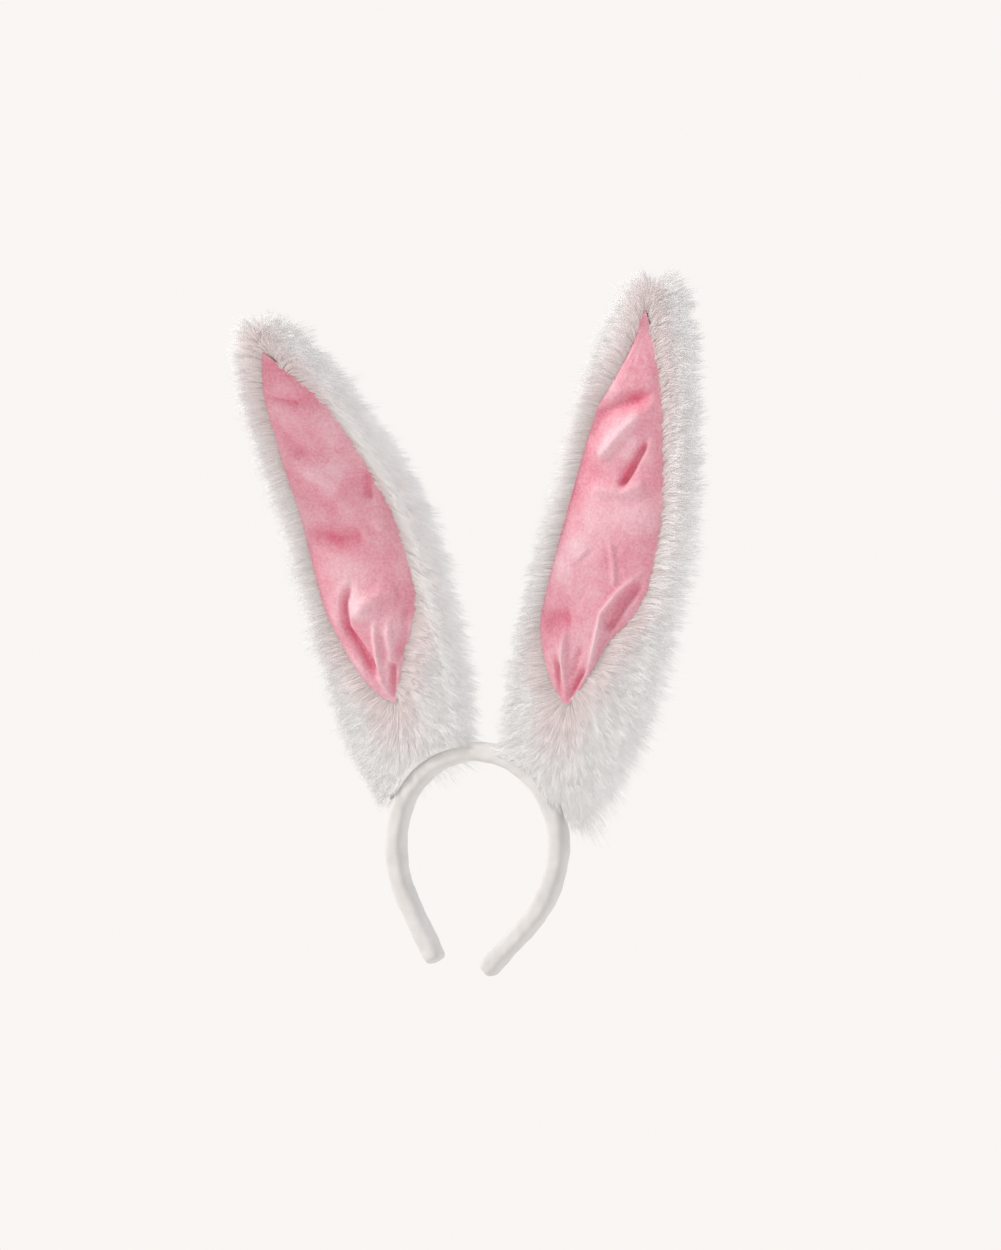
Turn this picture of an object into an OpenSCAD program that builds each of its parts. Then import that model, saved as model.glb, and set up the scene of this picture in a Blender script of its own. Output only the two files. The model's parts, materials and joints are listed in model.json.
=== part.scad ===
// Rabbit ears headband: a padded, fabric-covered hoop with two wired faux-fur ears.
// Millimetres. +Z is up, the front faces -Y, and left and right are a viewer's, from the front.
// The origin is the centre of the round crown.

/* [Hoop] */
// Inside radius of the round crown
crown_r = 52; // [46:0.5:64]
// Thickness of the finished band, from its inside to its outside
band_t = 12.5; // [11:0.5:16]
// Width of the finished band, front to back
band_w = 16; // [14:0.5:22]
// Corner radius of the finished band
band_corner = 4.5; // [3:0.25:5]
// Straight stretch at the top of each arm
arm_straight = 3; // [2:0.5:12]
// Radius of each arm's bend, at mid-thickness
arm_bend_r = 78; // [65:1:110]
// Angle that each arm turns inwards
arm_turn = 36; // [20:1:42]
// Straight stretch at the tip of each arm
tip_len = 43; // [20:1:46]

/* [Band layers] */
// Thickness of the plastic strip in the band
core_t = 2; // [1.5:0.1:3]
// Width of the plastic strip in the band
core_w = 9; // [6:0.5:11]
// Thickness of the velour cover
cover_t = 1.2; // [0.8:0.1:2]
// Depth of the cover's end that is tucked in at each tip
tuck_t = 3; // [2:0.5:6]

/* [Ears] */
// Length of an ear's cloth, from the band to its point
ear_len = 338; // [240:1:420]
// Greatest width of an ear's cloth
ear_w = 72; // [56:1:90]
// Height above the band where an ear is widest
ear_widest = 138; // [100:1:180]
// Thickness of the filled cloth, front to back
ear_t = 10; // [8:0.5:16]
// Length of the fur's pile
pile = 17; // [10:0.5:24]
// How far the pile stands in front of the cloth
rim_pile = 4; // [2:0.5:8]
// Greatest width of the pink lining that shows
lining_w = 70; // [40:1:72]
// Height of the lining's gathered bottom point
lining_low = 53; // [46:1:80]
// Height of the lining's top point
lining_top = 326; // [220:1:330]

/* [Ear places] */
// Place of the left ear on the crown, in degrees from the top
left_place = 59; // [35:1:60]
// Sideways lean of the left ear
left_lean = 14.5; // [5:0.5:35]
// Forward lean of the left ear
left_forward_lean = 19; // [-10:0.5:25]
// Forward curl of the left ear's upper half
left_forward_curl = 23; // [-10:0.5:35]
// Place of the right ear on the crown, in degrees from the top
right_place = 44; // [35:1:60]
// Sideways lean of the right ear
right_lean = 9.5; // [5:0.5:35]
// Forward lean of the right ear
right_forward_lean = 5; // [-10:0.5:25]
// Forward curl of the right ear's upper half
right_forward_curl = 14.5; // [-10:0.5:35]
// Height above the band of the bend at an ear's foot
foot_bend = 42; // [41:0.5:50]
// Height above the band of the bend at an ear's middle
middle_bend = 188; // [150:1:215]

/* [Ear parts] */
// Thickness of the frame wire
wire_t = 1.6; // [1:0.1:2.5]
// Thickness of the plush lining
lining_t = 1.5; // [1:0.1:2.5]
// Thickness of the tape that holds an ear to the band
tape_t = 1; // [0.6:0.1:2]
// Angle of the crown that the tape covers
tape_turn = 26; // [14:1:34]
// Thickness of the sewing thread
thread_t = 1; // [0.6:0.1:1.4]
// Distance between the stitches of the band's seam
seam_pitch = 6; // [4:0.5:10]

/* [Fits] */
// Gap between soft layers on one body
layer_gap = 0.2; // [0.1:0.05:0.4]
// Gap between pieces that move apart
move_gap = 0.6; // [0.4:0.1:1]

/* [Hidden] */
$fn = 64;

fur_colour = "#f2f1ef";
lining_colour = "#e59fb2";
cover_colour = "#e6e5e3";
foam_colour = "#dcdad2";
plastic_colour = "#8f9499";
wire_colour = "#b9bdc2";
thread_colour = "#f7f6f4";

far = 600;                        // beyond anything, for cutting away
mid_r = crown_r + band_t / 2;     // crown radius at mid-thickness
outer_r = crown_r + band_t;       // outside of the finished band
foam_t = band_t - 2 * (cover_t + layer_gap);
foam_w = band_w - 2 * (cover_t + layer_gap);

// The bend at the end of each arm's arc
bend_x = mid_r - arm_bend_r + arm_bend_r * cos(arm_turn);
bend_z = -arm_straight - arm_bend_r * sin(arm_turn);

// Ear layers, front to back, from the middle of the cloth
fur_front = -ear_t / 2 - rim_pile;
fur_back = ear_t / 2 + pile;
fur_middle = (fur_front + fur_back) / 2;
bend_r = (fur_back - fur_front) / 2 + 0.3;   // round end of a section that bends
lining_front = -ear_t / 2 - lining_t;
tape_r = outer_r + layer_gap + tape_t;       // outside of the foot's tape
seat_r = tape_r + layer_gap;                 // where the ear's foot sits
ear_low = -63;                               // virtual bottom of the leaf outline
fur_hem = -30;                               // lowest point of the foot's fur
channel = 1;                                 // cloth outside the wire
fill_inset = channel + wire_t + 0.5;         // cloth outside the wadding

// ---------- shared shapes ----------

// Rounded rectangle, t along X and w along Y, as a polygon of short flats
module rounded_section(t, w, r) {
    steps = 5;
    polygon([for (corner = [0 : 3], i = [0 : steps])
        let (turn = 90 * corner + 90 * i / steps,
             side_x = (corner == 0 || corner == 3) ? 1 : -1,
             side_y = corner < 2 ? 1 : -1)
        [side_x * (t / 2 - r) + r * cos(turn), side_y * (w / 2 - r) + r * sin(turn)]]);
}

module core_section() rounded_section(core_t, core_w, core_t * 0.4);

module foam_section() difference() {
    rounded_section(foam_t, foam_w, band_corner - cover_t - layer_gap);
    rounded_section(core_t + 2 * layer_gap, core_w + 2 * layer_gap, core_t * 0.4);
}

module cover_section() difference() {
    rounded_section(band_t, band_w, band_corner);
    rounded_section(band_t - 2 * cover_t, band_w - 2 * cover_t, band_corner - cover_t);
}

// Sweeps a band section round part of the crown; angles run from the right side over the top
module round_crown(from = 0, turn = 180)
    rotate([90, 0, 0]) rotate([0, 0, from])
        rotate_extrude(angle = turn) translate([mid_r, 0]) children();

// Places something at the bottom of an arm's arc, with -Z along the straight tip
module at_bend() translate([bend_x, 0, bend_z]) rotate([0, arm_turn, 0]) children();

// Sweeps a band section down the right arm, to short of its end
module down_arm(short = 0) {
    translate([mid_r, 0, -arm_straight])
        linear_extrude(arm_straight - move_gap) children();
    translate([mid_r - arm_bend_r, 0, -arm_straight]) rotate([90, 0, 0])
        rotate([0, 0, -arm_turn]) rotate_extrude(angle = arm_turn)
            translate([arm_bend_r, 0]) children();
    at_bend() translate([0, 0, short - tip_len]) linear_extrude(tip_len - short) children();
}

// Half the width of a leaf outline at height z
function leaf(z, low, top, width, low_power, top_power) =
    let (u = z < ear_widest ? (ear_widest - z) / (ear_widest - low)
                            : (z - ear_widest) / (top - ear_widest))
    width / 2 * pow(max(0, 1 - u * u), z < ear_widest ? low_power : top_power);

// Leaf outline from height bottom up to its point
module leaf_shape(bottom, low, top, width, low_power = 0.5, top_power = 0.65) {
    steps = 14;
    swing = asin((ear_widest - bottom) / (ear_widest - low));
    heights = [for (i = [0 : steps]) ear_widest - (ear_widest - low) * sin(swing * (1 - i / steps)),
               for (i = [1 : steps - 1]) ear_widest + (top - ear_widest) * sin(90 * i / steps)];
    right = [for (z = heights)
        let (x = leaf(z, low, top, width, low_power, top_power)) if (x > 0.01) [x, z]];
    left = [for (i = [len(right) - 1 : -1 : 0]) [-right[i][0], right[i][1]]];
    point = [[0, top]];
    polygon(bottom > low ? concat(right, point, left) : concat(right, point, left, [[0, low]]));
}

module fur_shape() leaf_shape(fur_hem, ear_low, ear_len + pile, ear_w + 2 * pile);

module cloth_shape(inset = 0)
    leaf_shape(fur_hem, ear_low, ear_len - inset, ear_w - 2 * inset);

module lining_shape(margin = 0)
    leaf_shape(lining_low - margin, lining_low - margin, lining_top + margin,
               lining_w + 2 * margin, 0.5, 0.9);

// Stands an outline up as a slab between two depths
module slab(front, back)
    translate([0, back, 0]) rotate([90, 0, 0]) linear_extrude(back - front) children();

// Keeps the part of an ear from its bend at height low up to height high.
// Its lower end is round about the bend's axis, so it can turn against the flat end below.
module bending_part(low, high) intersection() {
    children();
    rotate([90, 0, 90]) translate([0, 0, -far / 2]) linear_extrude(far)
        polygon(concat(
            [[-far / 2, high], [-far / 2, low]],
            [for (i = [0 : 24]) [fur_middle - bend_r * cos(7.5 * i), low - bend_r * sin(7.5 * i)]],
            [[far / 2, low], [far / 2, high]]));
}

// Puts a right-hand ear's part on the crown, leaning sideways
module on_crown(place, lean)
    translate([outer_r * sin(place), 0, outer_r * cos(place)]) rotate([0, lean, 0]) children();

// Turns an ear's part forward about the bend at a height
module bend_forward(height, turn)
    translate([0, fur_middle, height]) rotate([turn, 0, 0])
        translate([0, -fur_middle, -height]) children();

// Stands a piece on its side of the crown: the foot, which is sewn on and doesn't bend
module place_foot(side)
    if (side == "left") mirror([1, 0, 0]) on_crown(left_place, left_lean) children();
    else on_crown(right_place, right_lean) children();

module place_lower(side) place_foot(side)
    bend_forward(foot_bend, side == "left" ? left_forward_lean : right_forward_lean) children();

module place_upper(side) place_lower(side)
    bend_forward(middle_bend, side == "left" ? left_forward_curl : right_forward_curl) children();

module mirrored(side) if (side == "left") mirror([1, 0, 0]) children(); else children();

// Space of the band and the tape, taken out of everything in an ear's foot
module clear_of_band(side) difference() {
    children();
    rotate([90, 0, 0]) cylinder(r = seat_r, h = far, center = true, $fn = 128);
}

// Everything in a foot ends below the round end of the section above
module foot_part(side, front, back) clear_of_band(side)
    place_foot(side) intersection() {
        slab(front, back) children();
        translate([-far / 2, -far / 2, foot_bend - bend_r - move_gap - far])
            cube(far);
    }

module lower_part(side, front, back) place_lower(side)
    bending_part(foot_bend, middle_bend - bend_r - move_gap) slab(front, back) children();

module upper_part(side, front, back) place_upper(side)
    bending_part(middle_bend, far) slab(front, back) children();

// ---------- hoop ----------

module crown_core() color(plastic_colour) round_crown() core_section();

module arm_core(side) color(plastic_colour)
    mirrored(side) down_arm(tuck_t + 2 * layer_gap + 2) core_section();

module crown_foam() color(foam_colour) round_crown() foam_section();

module arm_foam(side) color(foam_colour)
    mirrored(side) down_arm(tuck_t + 2 * layer_gap) foam_section();

module crown_cover() color(cover_colour) round_crown() cover_section();

module arm_cover(side) color(cover_colour) mirrored(side) down_arm() cover_section();

module tip_tuck(side) color(cover_colour) mirrored(side)
    at_bend() translate([0, 0, -tip_len]) linear_extrude(tuck_t)
        rounded_section(foam_t, foam_w, band_corner - cover_t - layer_gap);

// One slanted stitch of the seam, on the back of the band
module seam_stitch() translate([0, band_w / 2 + thread_t / 2 + 0.05, 0])
    rotate([0, 60, 0]) cylinder(d = thread_t, h = seam_pitch * 0.7, center = true, $fn = 16);

// The crown's seam stops at each foot's tape, which is sewn over it
module crown_seam() color(thread_colour) {
    count = floor(PI * mid_r / seam_pitch) - 1;
    clear_turn = tape_turn / 2 + seam_pitch / mid_r * 90 / PI;
    for (i = [1 : count]) {
        turn = 180 * i / (count + 1);
        if (min([for (side = ["left", "right"]) abs(turn - foot_angle(side))]) > clear_turn)
            rotate([0, -turn, 0]) translate([mid_r, 0, 0]) seam_stitch();
    }
}

module arm_seam(side) color(thread_colour) mirrored(side) {
    arc_count = floor(arm_bend_r * arm_turn * PI / 180 / seam_pitch);
    for (i = [1 : arc_count]) translate([mid_r - arm_bend_r, 0, -arm_straight])
        rotate([0, arm_turn * i / (arc_count + 1), 0])
            translate([arm_bend_r, 0, 0]) seam_stitch();
    at_bend() for (z = [seam_pitch : seam_pitch : tip_len - tuck_t])
        translate([0, 0, -z]) seam_stitch();
}

// ---------- foot of each ear, sewn to the band ----------

// Crown angle, from the right side over the top, of a foot's middle
function foot_angle(side) = side == "left" ? 90 + left_place : 90 - right_place;

module foot_tape(side) color(thread_colour)
    round_crown(foot_angle(side) - tape_turn / 2, tape_turn) difference() {
        rounded_section(band_t + 2 * (layer_gap + tape_t), band_w + 2 * (layer_gap + tape_t),
                        band_corner + layer_gap + tape_t);
        rounded_section(band_t + 2 * layer_gap, band_w + 2 * layer_gap,
                        band_corner + layer_gap);
        translate([-band_t, -band_w]) square([band_t - band_t / 4, 2 * band_w]);
        translate([-band_t, band_w / 4]) square([2 * band_t, band_w]);
    }

// A row of stitches through the tape, on the back of the band
module foot_stitches(side) color(thread_colour) {
    stitches = 5;
    for (i = [1 : stitches])
        rotate([0, tape_turn * (i / (stitches + 1) - 0.5) - foot_angle(side), 0])
            translate([mid_r + band_t / 8, band_w / 2 + layer_gap + tape_t + thread_t / 2 + 0.05, 0])
                rotate([0, 90, 0]) cylinder(d = thread_t, h = band_t * 0.3, center = true, $fn = 16);
}

module foot_fur(side) color(fur_colour) difference() {
    foot_part(side, fur_front, fur_back) fur_shape();
    place_foot(side) slab(-ear_t / 2, ear_t / 2) cloth_shape();
}

module foot_wadding(side) color(foam_colour)
    foot_part(side, layer_gap - ear_t / 2, ear_t / 2 - layer_gap) cloth_shape(fill_inset);

module wire_shape() difference() {
    cloth_shape(channel);
    cloth_shape(channel + wire_t);
    translate([-far / 2, fur_hem - 1]) square([far, 1.5]);
}

module foot_wire(side) color(wire_colour)
    foot_part(side, -wire_t / 2, wire_t / 2) wire_shape();

// ---------- the two sections of each ear ----------

// Fur round the back and the edges, open in front where the lining shows
module fur_shell() difference() {
    children();
    slab(-ear_t / 2 - lining_t - layer_gap, ear_t / 2) cloth_shape();
    slab(fur_front - 1, 0) lining_shape();
}

module lower_fur(side) color(fur_colour) place_lower(side)
    bending_part(foot_bend, middle_bend - bend_r - move_gap)
        fur_shell() slab(fur_front, fur_back) fur_shape();

module upper_fur(side) color(fur_colour) place_upper(side)
    bending_part(middle_bend, far)
        fur_shell() slab(fur_front, fur_back) fur_shape();

module lower_wadding(side) color(foam_colour)
    lower_part(side, layer_gap - ear_t / 2, ear_t / 2 - layer_gap) cloth_shape(fill_inset);

module upper_wadding(side) color(foam_colour)
    upper_part(side, layer_gap - ear_t / 2, ear_t / 2 - layer_gap) cloth_shape(fill_inset);

module lower_wire(side) color(wire_colour)
    lower_part(side, -wire_t / 2, wire_t / 2) wire_shape();

module upper_wire(side) color(wire_colour)
    upper_part(side, -wire_t / 2, wire_t / 2) wire_shape();

module lower_lining(side) color(lining_colour)
    lower_part(side, lining_front, -ear_t / 2) intersection() {
        lining_shape(2);
        cloth_shape(layer_gap);
    }

module upper_lining(side) color(lining_colour)
    upper_part(side, lining_front, -ear_t / 2) intersection() {
        lining_shape(2);
        cloth_shape(layer_gap);
    }

crown_core();
arm_core("left");  // left_arm_core
arm_core("right");  // right_arm_core
crown_foam();
arm_foam("left");  // left_arm_foam
arm_foam("right");  // right_arm_foam
crown_cover();
arm_cover("left");  // left_arm_cover
arm_cover("right");  // right_arm_cover
tip_tuck("left");  // left_tip_tuck
tip_tuck("right");  // right_tip_tuck
crown_seam();
arm_seam("left");  // left_arm_seam
arm_seam("right");  // right_arm_seam
foot_tape("left");  // left_foot_tape
foot_tape("right");  // right_foot_tape
foot_stitches("left");  // left_foot_stitches
foot_stitches("right");  // right_foot_stitches
foot_fur("left");  // left_foot_fur
foot_fur("right");  // right_foot_fur
foot_wadding("left");  // left_foot_wadding
foot_wadding("right");  // right_foot_wadding
foot_wire("left");  // left_foot_wire
foot_wire("right");  // right_foot_wire
lower_fur("left");  // left_lower_fur
lower_fur("right");  // right_lower_fur
lower_wadding("left");  // left_lower_wadding
lower_wadding("right");  // right_lower_wadding
lower_wire("left");  // left_lower_wire
lower_wire("right");  // right_lower_wire
lower_lining("left");  // left_lower_lining
lower_lining("right");  // right_lower_lining
upper_fur("left");  // left_upper_fur
upper_fur("right");  // right_upper_fur
upper_wadding("left");  // left_upper_wadding
upper_wadding("right");  // right_upper_wadding
upper_wire("left");  // left_upper_wire
upper_wire("right");  // right_upper_wire
upper_lining("left");  // left_upper_lining
upper_lining("right");  // right_upper_lining
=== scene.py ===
import json
import math

import bpy
import numpy as np
from mathutils import Matrix, Vector, kdtree


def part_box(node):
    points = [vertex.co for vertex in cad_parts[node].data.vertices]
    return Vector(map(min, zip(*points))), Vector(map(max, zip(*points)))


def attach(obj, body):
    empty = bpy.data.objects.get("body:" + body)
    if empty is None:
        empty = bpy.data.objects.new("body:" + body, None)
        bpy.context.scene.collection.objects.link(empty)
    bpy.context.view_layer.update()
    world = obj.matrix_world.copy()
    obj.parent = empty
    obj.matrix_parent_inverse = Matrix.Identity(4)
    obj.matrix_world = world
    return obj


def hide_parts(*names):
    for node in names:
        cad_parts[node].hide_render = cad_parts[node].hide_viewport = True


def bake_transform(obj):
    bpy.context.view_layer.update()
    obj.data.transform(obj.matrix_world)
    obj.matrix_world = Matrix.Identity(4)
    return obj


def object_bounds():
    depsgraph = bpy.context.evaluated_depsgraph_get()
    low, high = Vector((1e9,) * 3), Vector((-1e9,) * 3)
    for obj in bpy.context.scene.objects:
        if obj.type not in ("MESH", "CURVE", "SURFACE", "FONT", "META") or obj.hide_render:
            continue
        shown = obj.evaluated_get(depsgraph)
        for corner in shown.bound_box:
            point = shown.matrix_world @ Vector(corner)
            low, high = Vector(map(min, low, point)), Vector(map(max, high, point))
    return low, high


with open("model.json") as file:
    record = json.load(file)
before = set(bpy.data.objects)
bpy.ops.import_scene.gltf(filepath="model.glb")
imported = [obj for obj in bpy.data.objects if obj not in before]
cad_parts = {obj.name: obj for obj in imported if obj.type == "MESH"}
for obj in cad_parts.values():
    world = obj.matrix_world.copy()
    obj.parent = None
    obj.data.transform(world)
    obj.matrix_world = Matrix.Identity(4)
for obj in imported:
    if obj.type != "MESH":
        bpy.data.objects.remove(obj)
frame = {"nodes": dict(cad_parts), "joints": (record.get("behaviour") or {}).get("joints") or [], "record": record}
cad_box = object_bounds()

# ---------------------------------------------------------------- Floor and camera
# A pale studio sweep, so evenly lit that floor and wall are one colour. A long lens
# stands to the right of the headband's front, and is turned a little about its axis.

PAPER = "#FAF6F3"
EYE_AROUND = math.radians(24)
EYE_ABOVE = math.radians(4)
EYE_ROLL = math.radians(7.2)
EYE_DISTANCE = 2.4
SEEN_HEIGHT = 0.8114        # metres from the top to the bottom of the view, at the object
SEEN_CENTRE = Vector((0.0025, -0.012, 0.1432))


def linear(colour):
    """An sRGB hex colour as linear red, green, blue and alpha."""
    parts = [int(colour[i:i + 2], 16) / 255 for i in (1, 3, 5)]
    return tuple(c / 12.92 if c <= 0.04045 else ((c + 0.055) / 1.055) ** 2.4 for c in parts) + (1.0,)


def add(tree, kind, inputs=(), **settings):
    """Adds a node, sets its values, and links or fills its inputs."""
    made = tree.nodes.new(kind)
    for name, value in settings.items():
        setattr(made, name, value)
    for name, value in dict(inputs).items():
        if isinstance(value, bpy.types.NodeSocket):
            tree.links.new(value, made.inputs[name])
        else:
            made.inputs[name].default_value = value
    return made


def empty_material(name):
    """A new material and its bare node tree."""
    made = bpy.data.materials.new(name)
    made.use_nodes = True
    made.node_tree.nodes.clear()
    return made, made.node_tree


paper, tree = empty_material("studio_paper")
glow = add(tree, "ShaderNodeEmission", {"Color": linear(PAPER), "Strength": 1.0})
add(tree, "ShaderNodeOutputMaterial", {"Surface": glow.outputs["Emission"]})

floor_z = cad_box[0][2] - 0.09
floor_mesh = bpy.data.meshes.new("studio_floor")
floor_mesh.from_pydata([(x * 6, y * 6, floor_z) for x, y in ((-1, -1), (1, -1), (1, 1), (-1, 1))],
                       [], [(0, 1, 2, 3)])
floor_mesh.materials.append(paper)
floor = bpy.data.objects.new("studio_floor", floor_mesh)
bpy.context.collection.objects.link(floor)

toward_eye = Vector((math.sin(EYE_AROUND) * math.cos(EYE_ABOVE),
                     -math.cos(EYE_AROUND) * math.cos(EYE_ABOVE), math.sin(EYE_ABOVE)))
camera = bpy.data.objects.new("camera", bpy.data.cameras.new("camera"))
camera.data.sensor_fit = "VERTICAL"
camera.data.sensor_height = 36
camera.data.lens = 36 * EYE_DISTANCE / SEEN_HEIGHT
camera.location = SEEN_CENTRE + toward_eye * EYE_DISTANCE
camera.rotation_euler = ((-toward_eye).to_track_quat("-Z", "Y").to_matrix()
                         @ Matrix.Rotation(EYE_ROLL, 3, "Z")).to_euler()
bpy.context.collection.objects.link(camera)
bpy.context.scene.camera = camera

# ---------------------------------------------------------------- Light
# Soft light from all round, as in a white tent, with one large lamp high on the left
# that gives the folds and the pile their shade.

world = bpy.data.worlds.new("tent")
bpy.context.scene.world = world
world.use_nodes = True
world.node_tree.nodes.clear()
tree = world.node_tree
tent = add(tree, "ShaderNodeBackground", {"Color": linear("#F6F4F5"), "Strength": 0.62})
seen = add(tree, "ShaderNodeBackground", {"Color": linear(PAPER), "Strength": 1.0})
ray = add(tree, "ShaderNodeLightPath")
both = add(tree, "ShaderNodeMixShader", {0: ray.outputs["Is Camera Ray"],
                                         1: tent.outputs[0], 2: seen.outputs[0]})
add(tree, "ShaderNodeOutputWorld", {"Surface": both.outputs[0]})


def soft_lamp(name, place, aim, size, watts, colour):
    """A square lamp at a place, facing another."""
    data = bpy.data.lights.new(name, "AREA")
    data.size, data.energy, data.color = size, watts, linear(colour)[:3]
    lamp = bpy.data.objects.new(name, data)
    lamp.location = place
    lamp.rotation_euler = (Vector(aim) - Vector(place)).to_track_quat("-Z", "Y").to_euler()
    bpy.context.collection.objects.link(lamp)


soft_lamp("key_lamp", (-1.5, -1.15, 1.4), (0, 0, 0.15), 0.8, 36, "#FFFAF6")
soft_lamp("back_lamp", (1.2, 1.6, 1.2), (0, 0, 0.15), 1.4, 14, "#F7F9FF")
bpy.context.scene.view_settings.view_transform = "Standard"

# ---------------------------------------------------------------- Band cover
# A sleeve of white velour, 1.2 mm thick, drawn over the foam and sewn shut at both tips.
# Its short pile looks chalky and soft, and the sleeve puckers a little inside the bends.

clamp = next(m for m in frame["record"]["mounts"] if m["name"] == "head_clamp")
CROWN_R = clamp["dims"]["r_mm"] / 1000
cover_low, cover_high = (Vector(corner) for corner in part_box("crown_cover"))
BAND_T = cover_high.x - CROWN_R
BAND_W = cover_high.y - cover_low.y
ARM_STRAIGHT = 0.003
ARM_BEND_R = 0.078
ARM_TURN = math.radians(36)
TIP_LEN = 0.043
TIP_ROUND = 0.0045
SPLIT_TURN = math.radians(48)   # crown angle from the top where the sleeve's stretches meet
MID_R = CROWN_R + BAND_T / 2

half_crown = MID_R * math.pi / 2
arm_arc = ARM_BEND_R * ARM_TURN
BAND_HALF = half_crown + ARM_STRAIGHT + arm_arc + TIP_LEN


def band_point(run):
    """Place, outward direction and forward direction at a run along the band from its top."""
    side = -1 if run < 0 else 1
    run = abs(run)
    if run < half_crown:
        turn = run / MID_R
        place = (MID_R * math.sin(turn), MID_R * math.cos(turn))
    elif run < half_crown + ARM_STRAIGHT:
        turn = math.pi / 2
        place = (MID_R, half_crown - run)
    elif run < half_crown + ARM_STRAIGHT + arm_arc:
        bend = (run - half_crown - ARM_STRAIGHT) / ARM_BEND_R
        turn = math.pi / 2 + bend
        place = (MID_R - ARM_BEND_R * (1 - math.cos(bend)), -ARM_STRAIGHT - ARM_BEND_R * math.sin(bend))
    else:
        turn = math.pi / 2 + ARM_TURN
        rest = run - half_crown - ARM_STRAIGHT - arm_arc
        place = (MID_R - ARM_BEND_R * (1 - math.cos(ARM_TURN)) - rest * math.sin(ARM_TURN),
                 -ARM_STRAIGHT - ARM_BEND_R * math.sin(ARM_TURN) - rest * math.cos(ARM_TURN))
    return np.array([side * place[0], 0, place[1]]), np.array([side * math.sin(turn), 0, math.cos(turn)])


def mesh_piece(name, points, faces, materials):
    """A new piece from points and faces, shown smooth."""
    mesh = bpy.data.meshes.new(name)
    mesh.from_pydata([tuple(p) for p in points], [], faces)
    mesh.update()
    mesh.polygons.foreach_set("use_smooth", [True] * len(mesh.polygons))
    for material in materials:
        mesh.materials.append(material)
    piece = bpy.data.objects.new(name, mesh)
    bpy.context.collection.objects.link(piece)
    return piece


def velour_material():
    """Knitted velour: a dense upright pile about a millimetre long, matt, with a bright edge."""
    made, tree = empty_material("white_velour")
    where = add(tree, "ShaderNodeTexCoord")
    # brushed patches about 17 mm across
    cloud = add(tree, "ShaderNodeTexNoise", {
        "Vector": where.outputs["Object"], "Scale": 60.0, "Detail": 4.0})
    tone = add(tree, "ShaderNodeValToRGB", {"Fac": cloud.outputs["Fac"]})
    low, high = tone.color_ramp.elements
    low.position, low.color = 0.3, linear("#DAD8D6")
    high.position, high.color = 0.7, linear("#E5E3E1")
    # pile in clumps of 0.7 mm: single fibres of 0.03 mm are too fine to show, so it is drawn coarser
    pile = add(tree, "ShaderNodeTexNoise", {
        "Vector": where.outputs["Object"], "Scale": 1400.0, "Detail": 3.0})
    # crushed places about 4.5 mm across
    crush_and_fold_shade = add(tree, "ShaderNodeTexNoise", {
        "Vector": where.outputs["Object"], "Scale": 220.0, "Detail": 3.0})
    nap_and_fold_shade = add(tree, "ShaderNodeBump", {"Height": pile.outputs["Fac"], "Strength": 0.5, "Distance": 0.0004})
    bump = add(tree, "ShaderNodeBump", {"Height": crush_and_fold_shade.outputs["Fac"], "Strength": 0.35,
                                        "Distance": 0.0008, "Normal": nap_and_fold_shade.outputs["Normal"]})
    cloth = add(tree, "ShaderNodeBsdfPrincipled", {
        "Base Color": tone.outputs["Color"], "Roughness": 0.95, "Sheen Weight": 0.35,
        "Sheen Roughness": 0.45, "Specular IOR Level": 0.2, "Normal": bump.outputs["Normal"]})
    add(tree, "ShaderNodeOutputMaterial", {"Surface": cloth.outputs["BSDF"]})
    return made


velour = velour_material()
RING = 48                   # corners round the sleeve's section
SECTION_POWER = 3.2         # 2 would be an ellipse, and more is squarer
SWAY_START = 0.7


def cover_ring(run):
    """One ring of the sleeve: a rounded section, drawn in at the tips and puckered in the bends."""
    place, out = band_point(run)
    end = BAND_HALF - abs(run)
    round_off = 1.0
    if end < TIP_ROUND:
        round_off = math.sqrt(max(0.0, 1 - (1 - end / TIP_ROUND) ** 2)) * 0.42 + 0.58
    ring = []
    bend = max(0.0, min(1.0, (abs(run) - half_crown) / 0.02)) * (1 if end > TIP_LEN else 0.3)
    for k in range(RING):
        turn = 2 * math.pi * k / RING
        c, s = math.cos(turn), math.sin(turn)
        size = (abs(c) ** SECTION_POWER + abs(s) ** SECTION_POWER) ** (-1 / SECTION_POWER)
        pucker = 0.00016 * bend * max(0, -c) * math.sin(abs(run) * 1300 + 1.5 * s)
        sway = 0.00022 * math.sin(run * 210 + 2 * turn + SWAY_START)
        sway = sway + 0.00012 * math.sin(run * 530 - 3 * turn)
        t = (BAND_T / 2 * size * round_off + pucker + sway) * c
        w = (BAND_W / 2 * size * round_off + sway) * s
        ring.append(place + out * t + np.array([0, w, 0]))
    return ring


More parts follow.
